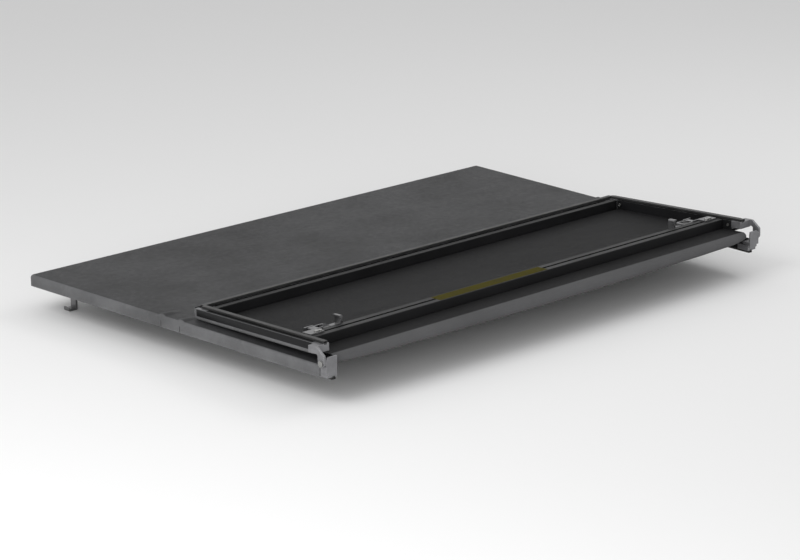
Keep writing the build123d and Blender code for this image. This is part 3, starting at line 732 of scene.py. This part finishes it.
def skin_piece(mesh, name, turn=None):
    """Make a skin's object: grained top, smoother skirts painted lighter as side light, and the knitted back
    inside both.

    The shell comes lying flat, and is then folded by turn if there is one."""
    if turn is not None:
        bmesh.ops.rotate(mesh, verts=mesh.verts, cent=REAR_PIVOT, matrix=turn)
    labels = ("grained_vinyl", "skirt_vinyl", "vinyl_back", "vinyl_back")
    skin = piece_from(mesh, name, *[bpy.data.materials[label] for label in labels])
    thicken(skin, sizes().fabric)
    return skin


def bay(front_bow, rear_bow, boxes=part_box):
    """The gap between two bows, as (front, rear)."""
    return boxes(front_bow)[0].y, boxes(rear_bow)[1].y


def lift_over_barrels(mesh, pivot):
    """Let the fabric rise over the pair of hinge barrels at a front pivot."""
    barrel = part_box("front_knuckle_left")[1].z + sizes().fabric + sizes().barrel_room - TOP
    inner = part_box("front_knuckle_right")[0].x
    for vert in mesh.verts:
        x, y, z = vert.co
        along = max(0.0, 1 - (abs(y - pivot.y) / sizes().barrel_reach) ** 2)
        across = min(1.0, max(0.0, (abs(x) - inner + CUFF) / CUFF))
        raised = min(1.0, max(0.0, (z - TOP + sizes().edge_radius) / sizes().edge_radius))
        vert.co.z += barrel * along * across * (3 - 2 * across) * across * raised


def slit_skirts(mesh, y):
    """Open the skirts at a hinge, from the hem up to just below the rounded edge."""
    half = sizes().slit / 2
    height = TOP - sizes().edge_radius - SLIT_MARGIN
    cut(mesh, (0, 0, height), (0, 0, 1))
    gone = []
    for face in mesh.faces:
        centre = face.calc_center_median()
        if abs(centre.y - y) < half and centre.z < height:
            gone.append(face)
    bmesh.ops.delete(mesh, geom=gone, context="FACES")


def hinge_rows(y):
    """Rows of cuts that a skin needs to bend at a hinge."""
    half = sizes().slit / 2
    pleat = sizes().pleat
    steps = (half, pleat * 0.35, pleat * 0.6, pleat * 0.85, pleat * 1.1)
    return [y - step for step in steps] + [y + step for step in steps]


def stitch_row(mesh, start, end, outward):
    """A row of stitches from start to end, lying on a face that looks outward."""
    start, end = Vector(start), Vector(end)
    run = end - start
    count = max(1, int(run.length / sizes().stitch_pitch))
    along = run.normalized()
    turn = Matrix((along, outward.cross(along), outward)).transposed().to_4x4()
    shape = Matrix.Diagonal((sizes().stitch / 2, sizes().thread, sizes().thread * 0.8, 1))
    for i in range(count):
        centre = start + run * ((i + 0.5) / count)
        bmesh.ops.create_icosphere(
            mesh, subdivisions=1, radius=1.0, matrix=Matrix.Translation(centre) @ turn @ shape
        )


def hem_stitches(name, y_front, y_rear, front_closed, rear_closed, turn=None):
    """Hem stitching of one skin: a row along each skirt, folded by turn if there is one."""
    mesh = bmesh.new()
    radius = sizes().corner_radius
    z = HEM + sizes().stitch_height
    front = y_front - (radius if front_closed else sizes().slit)
    rear = y_rear + (radius if rear_closed else sizes().slit)
    for side in (1, -1):
        outward = Vector((side, -TAPER, 0)).normalized()
        start = (side * half_width(front), front, z)
        end = (side * half_width(rear), rear, z)
        stitch_row(mesh, start, end, outward)
    for y, closed, facing in ((y_front, front_closed, 1), (y_rear, rear_closed, -1)):
        if closed:
            reach = half_width(y) - radius
            stitch_row(mesh, (-reach, y, z), (reach, y, z), Vector((0, facing, 0)))
    if turn is not None:
        bmesh.ops.rotate(mesh, verts=mesh.verts, cent=REAR_PIVOT, matrix=turn)
    return piece_from(mesh, name, bpy.data.materials["hem_thread"])


class FrontSkin(bpy.types.Operator):
    """Make the front panel's vinyl, which runs on over half of the front hinge's spine."""

    bl_idname = "cover.front_skin"
    bl_label = "Front skin"

    def execute(self, context):
        mesh = skin_shell(FRONT_EDGE, SPINE_MIDDLE, True, False)
        grid_cuts(mesh, FRONT_EDGE, SPINE_MIDDLE, hinge_rows(FRONT_PIVOT.y))
        relax(mesh, [bay("bulkhead_bow", "front_hinge_bow")], 1, 3.1)
        lift_over_barrels(mesh, FRONT_PIVOT)
        slit_skirts(mesh, FRONT_PIVOT.y)
        skin = skin_piece(mesh, "front_skin")
        stitches = hem_stitches("front_hem_stitches", FRONT_EDGE, FRONT_PIVOT.y, True, False)
        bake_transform(skin)
        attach(stitches, "front_panel")
        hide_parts("front_cover", "spine_fabric")
        return {"FINISHED"}


class MiddleSkin(bpy.types.Operator):
    """Make the middle panel's vinyl, from the middle of the spine to the rear hinge."""

    bl_idname = "cover.middle_skin"
    bl_label = "Middle skin"

    def execute(self, context):
        mesh = skin_shell(SPINE_MIDDLE, MIDDLE_END, False, False)
        grid_cuts(mesh, SPINE_MIDDLE, MIDDLE_END, hinge_rows(MIDDLE_PIVOT.y))
        relax(mesh, [bay("middle_front_bow", "middle_rear_bow")], 1, 7.7)
        lift_over_barrels(mesh, MIDDLE_PIVOT)
        slit_skirts(mesh, MIDDLE_PIVOT.y)
        skin = skin_piece(mesh, "middle_skin")
        stitches = hem_stitches("middle_hem_stitches", MIDDLE_PIVOT.y, MIDDLE_END, False, False)
        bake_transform(skin)
        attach(stitches, "middle_panel")
        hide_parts("middle_cover")
        return {"FINISHED"}


def loop_half(name, lower):
    """Half of the fabric behind the rear hinge, from a panel's edge out to the crest."""
    start = Vector((0, MIDDLE_END, TOP))
    end = folded((0, REAR_PIVOT.y - sizes().flap, TOP))
    mesh = bmesh.new()
    bmesh.ops.create_grid(mesh, x_segments=96, y_segments=12, size=0.5)
    for vert in mesh.verts:
        across = vert.co.x * 2
        low, high = LOWER_ARC if lower else UPPER_ARC
        turn = low + (high - low) * (vert.co.y + 0.5)
        centre = start.lerp(end, (1 + sin(turn)) / 2)
        inset = min(1.0, (1 - abs(across)) * LOOP_REACH / sizes().loop_gather)
        gather = GATHERED + (1 - GATHERED) * sin(pi / 2 * inset)
        slack = sizes().loop_slack * (1 - across * across)
        wave = noise.noise(Vector((across * 9, turn * 0.4, 5.5))) * LOOP_WAVE
        out = cos(turn) ** LOOP_FULLNESS
        tuck = LAP_TUCK * sizes().fabric if lower else 0
        depth = (sizes().loop_depth * gather + slack + wave - tuck) * out
        sink = LOOP_SINK * slack * out
        vert.co = (across * LOOP_REACH, centre.y - depth, centre.z - sink)
    mesh.normal_update()
    bmesh.ops.reverse_faces(mesh, faces=mesh.faces)
    # The loop's outer face takes the backing painted lighter: painted light on the loop's crest.
    half = piece_from(mesh, name, bpy.data.materials["grained_vinyl"], bpy.data.materials["hinge_web"])
    thicken(half, sizes().fabric)
    return half


class HingeLoop(bpy.types.Operator):
    """Make the loop of vinyl behind the rear hinge. Each half stays on its panel."""

    bl_idname = "cover.hinge_loop"
    bl_label = "Hinge loop"

    def execute(self, context):
        lower = loop_half("hinge_loop_lower", True)
        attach(lower, "middle_panel")
        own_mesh(lower)
        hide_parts("hinge_fabric")
        upper = loop_half("hinge_loop_upper", False)
        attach(upper, "rear_panel")
        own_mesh(upper)
        return {"FINISHED"}


class RearSkin(bpy.types.Operator):
    """Make the rear panel's vinyl lying flat, with its flap over the hinge, and fold it forward."""

    bl_idname = "cover.rear_skin"
    bl_label = "Rear skin"

    def execute(self, context):
        flap_edge = REAR_PIVOT.y - sizes().flap
        mesh = skin_shell(flap_edge, REAR_EDGE, False, True)
        grid_cuts(mesh, flap_edge, REAR_EDGE, [REAR_COVER_START])
        for side in (1, -1):
            cut(mesh, (side * LOOP_REACH, 0, 0), (1, 0, 0))
        gone = []
        for face in mesh.faces:
            centre = face.calc_center_median()
            if centre.y > REAR_COVER_START and (abs(centre.x) > LOOP_REACH or centre.z < TOP - 1e-4):
                gone.append(face)
        bmesh.ops.delete(mesh, geom=gone, context="FACES")
        relax(mesh, [bay("rear_hinge_bow", "tailgate_bow", flat_box)], -1, 12.4)
        skin = skin_piece(mesh, "rear_skin", FOLD_FORWARD)
        stitches = hem_stitches("rear_hem_stitches", REAR_COVER_START, REAR_EDGE, False, True, FOLD_FORWARD)
        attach(skin, "rear_panel")
        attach(stitches, "rear_panel")
        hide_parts("rear_cover")
        return {"FINISHED"}


class EdgeTrim(bpy.types.Operator):
    """Make the strips that clip the rear skin's skirts to its side rails."""

    bl_idname = "cover.edge_trim"
    bl_label = "Edge trim"

    def execute(self, context):
        for side, name in ((-1, "rear_edge_trim_left"), (1, "rear_edge_trim_right")):
            front = REAR_COVER_START - sizes().trim
            rear = REAR_EDGE + 1.6 * sizes().corner_radius
            mesh = bmesh.new()
            bmesh.ops.create_cube(mesh, size=1.0)
            for vert in mesh.verts:
                y = front if vert.co.y > 0 else rear
                outward = sizes().trim if vert.co.x * side > 0 else -sizes().fabric / 2
                z = HEM + (sizes().trim_height if vert.co.z > 0 else TRIM_SETBACK)
                vert.co = (side * (half_width(y) + outward), y, z)
            mesh.normal_update()
            bevel(mesh, mesh.edges[:], sizes().trim / 3, 2)
            bmesh.ops.rotate(mesh, verts=mesh.verts, cent=REAR_PIVOT, matrix=FOLD_FORWARD)
            trim = piece_from(mesh, name, bpy.data.materials["powder_coat"])
            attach(trim, "rear_panel")
        return {"FINISHED"}


class Sticker(bpy.types.Operator):
    """Put a blank sticker on the hinge bow's underside, which faces up while the panel is folded."""

    bl_idname = "cover.sticker"
    bl_label = "Sticker"

    def execute(self, context):
        low, high = flat_box("rear_hinge_bow")
        land = (high.y - low.y) * STICKER_LAND
        mesh = bmesh.new()
        bmesh.ops.create_grid(mesh, x_segments=1, y_segments=1, size=0.5)
        bmesh.ops.scale(mesh, verts=mesh.verts, vec=(sizes().sticker_length, land, 1))
        bmesh.ops.bevel(
            mesh,
            geom=mesh.verts[:],
            offset=STICKER_CORNER,
            offset_type="OFFSET",
            segments=4,
            profile=0.5,
            affect="VERTICES",
            material=-1,
        )
        bmesh.ops.reverse_faces(mesh, faces=mesh.faces)
        centre = Vector((sizes().sticker_centre, (low.y + high.y) / 2, low.z - STICKER_LIFT))
        bmesh.ops.translate(mesh, verts=mesh.verts, vec=centre)
        bmesh.ops.rotate(mesh, verts=mesh.verts, cent=REAR_PIVOT, matrix=FOLD_FORWARD)
        sticker = piece_from(mesh, "blank_sticker", bpy.data.materials["blank_sticker"])
        wall = sticker.modifiers.new("wall", "SOLIDIFY")
        wall.thickness = STICKER_THICKNESS
        wall.offset = 0
        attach(sticker, "rear_panel")
        return {"FINISHED"}


class Finishes(bpy.types.Operator):
    """Make the shared node groups and the materials of every finish."""

    bl_idname = "cover.finishes"
    bl_label = "Finishes"

    def execute(self, context):
        for make_group in GROUPS:
            make_group()
        vinyl_material("grained_vinyl", colours().vinyl, 620.0, 0.00022)
        # Finer grain on the skirts; their lighter colour is painted side light.
        vinyl_material("skirt_vinyl", colours().skirt, 900.0, 0.0001)
        backing_material("vinyl_back", colours().backing, 420.0)
        # The hinge loop's backing, painted lighter as the light on its crest.
        backing_material("hinge_web", colours().painted_loop_light, 650.0)
        coat_material()
        casting_material()
        seal_material()
        metal_material("zinc_plate", colours().zinc, (0.22, 0.4), False)
        metal_material("brushed_alloy", colours().clamp, (0.34, 0.5), True)
        plastic_material()
        thread_material()
        sticker_material()
        floor_material()
        return {"FINISHED"}


FINISH_OF_SLOT = {
    "frame": "powder_coat",
    "casting": "die_casting",
    "seal": "seal_rubber",
    "hardware": "zinc_plate",
    "clamp_metal": "brushed_alloy",
    "thumbwheel": "moulded_nylon",
}


def finish_nodes(slots):
    """Give the frame's pieces of these slots their materials."""
    for name, piece in NODES.items():
        slot = SLOT_OF[name]
        if slot in slots:
            piece.data.materials.clear()
            piece.data.materials.append(bpy.data.materials[FINISH_OF_SLOT[slot]])


class FrameFinish(bpy.types.Operator):
    """Finish the rails, bows and castings."""

    bl_idname = "cover.frame_finish"
    bl_label = "Frame finish"

    def execute(self, context):
        finish_nodes({"frame", "casting"})
        return {"FINISHED"}


class SealFinish(bpy.types.Operator):
    """Finish the bulb seals."""

    bl_idname = "cover.seal_finish"
    bl_label = "Seal finish"

    def execute(self, context):
        finish_nodes({"seal"})
        return {"FINISHED"}


class HardwareFinish(bpy.types.Operator):
    """Finish the screws, pins, bolts and clamps."""

    bl_idname = "cover.hardware_finish"
    bl_label = "Hardware finish"

    def execute(self, context):
        finish_nodes({"hardware", "clamp_metal", "thumbwheel"})
        return {"FINISHED"}


def add_lamp(name, power, size, spot, target):
    """Hang an area lamp that looks at the target."""
    lamp = bpy.data.lights.new(name, "AREA")
    lamp.energy = power
    lamp.shape = "RECTANGLE"
    lamp.size, lamp.size_y = size
    made = bpy.data.objects.new(name, lamp)
    bpy.context.scene.collection.objects.link(made)
    made.location = spot
    made.rotation_euler = (Vector(target) - Vector(spot)).to_track_quat("-Z", "Y").to_euler()


def light_world(strength, backdrop):
    """Even light from all round, while the camera and shiny things see a pale backdrop."""
    world = bpy.data.worlds.new("studio")
    bpy.context.scene.world = world
    world.use_nodes = True
    tree = world.node_tree
    tree.nodes.clear()
    path = node(tree, "ShaderNodeLightPath").outputs
    seen = maths(tree, "MAXIMUM", path["Is Camera Ray"], path["Is Glossy Ray"])
    seen = maths(tree, "MAXIMUM", seen, path["Is Transmission Ray"])
    soft = node(tree, "ShaderNodeBackground", {"Color": (1, 1, 1, 1), "Strength": strength})
    pale = node(tree, "ShaderNodeBackground", {"Color": opaque(backdrop), "Strength": 1.0})
    mixed = node(tree, "ShaderNodeMixShader", {0: seen, 1: soft.outputs[0], 2: pale.outputs[0]})
    node(tree, "ShaderNodeOutputWorld", {"Surface": mixed.outputs[0]})


def aim_camera(low, high):
    """Stand the camera in its place, aim it at the cover and close in until the cover fills the picture."""
    stage = bpy.context.scene.cover_stage
    data = bpy.data.cameras.new("camera")
    camera = bpy.data.objects.new("camera", data)
    bpy.context.scene.collection.objects.link(camera)
    bpy.context.scene.camera = camera
    spot = Vector(stage.camera_place)
    corners = [Vector((x, y, z)) for x in (low.x, high.x) for y in (low.y, high.y) for z in (low.z, high.z)]
    target = (low + high) / 2
    for _ in range(4):
        turn = (target - spot).to_track_quat("-Z", "Y")
        seen = [turn.inverted() @ (corner - spot) for corner in corners]
        spread = [(point.x / -point.z, point.y / -point.z) for point in seen]
        across = [point[0] for point in spread]
        up = [point[1] for point in spread]
        away = Vector(((min(across) + max(across)) / 2, (min(up) + max(up)) / 2, -1))
        target = spot + turn @ away
    camera.location = spot
    camera.rotation_euler = turn.to_euler()
    half = (max(across) - min(across)) / 2 / (1 - 2 * stage.margin)
    data.lens = data.sensor_width / 2 / half
    data.clip_end = 60


class Stage(bpy.types.Operator):
    """Make the floor, the lights and the camera."""

    bl_idname = "cover.stage"
    bl_label = "Stage"

    def execute(self, context):
        low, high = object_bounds()
        stage = context.scene.cover_stage
        mesh = bmesh.new()
        bmesh.ops.create_grid(mesh, x_segments=4, y_segments=4, size=FLOOR_SIZE)
        bmesh.ops.translate(mesh, verts=mesh.verts, vec=(0, 0, low.z - FLOOR_GAP))
        floor = piece_from(mesh, "floor", bpy.data.materials["studio_floor"])
        floor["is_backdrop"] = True
        centre = (low + high) / 2
        for name, (size, spot) in LAMPS.items():
            add_lamp(name, getattr(stage, name), size, spot, centre)
        light_world(stage.sky, colours().floor)
        aim_camera(low, high)
        context.scene.view_settings.view_transform = "Standard"
        return {"FINISHED"}


STEPS = (
    Finishes,
    FrontSkin,
    MiddleSkin,
    HingeLoop,
    RearSkin,
    EdgeTrim,
    Sticker,
    FrameFinish,
    SealFinish,
    HardwareFinish,
    Stage,
)


class CoverPanel(bpy.types.Panel):
    """Sidebar panel with the cover's sizes, colours and steps."""

    bl_idname = "VIEW3D_PT_cover"
    bl_label = "Tonneau cover"
    bl_space_type = "VIEW_3D"
    bl_region_type = "UI"
    bl_category = "Cover"

    def draw(self, context):
        layout = self.layout
        scene = context.scene
        for group in (scene.cover_sizes, scene.cover_colours, scene.cover_stage):
            box = layout.box()
            for name in group.bl_rna.properties.keys():
                if name not in ("rna_type", "name"):
                    box.prop(group, name)
        for step in STEPS:
            layout.operator(step.bl_idname)


CLASSES = (CoverSizes, CoverColours, CoverStage, *STEPS, CoverPanel)


def register():
    for cls in CLASSES:
        bpy.utils.register_class(cls)
    bpy.types.Scene.cover_sizes = bpy.props.PointerProperty(type=CoverSizes)
    bpy.types.Scene.cover_colours = bpy.props.PointerProperty(type=CoverColours)
    bpy.types.Scene.cover_stage = bpy.props.PointerProperty(type=CoverStage)


def unregister():
    del bpy.types.Scene.cover_stage
    del bpy.types.Scene.cover_colours
    del bpy.types.Scene.cover_sizes
    for cls in reversed(CLASSES):
        bpy.utils.unregister_class(cls)


def main():
    register()
    for step in STEPS:
        group, name = step.bl_idname.split(".")
        getattr(getattr(bpy.ops, group), name)()


if __name__ == "__main__":
    main()
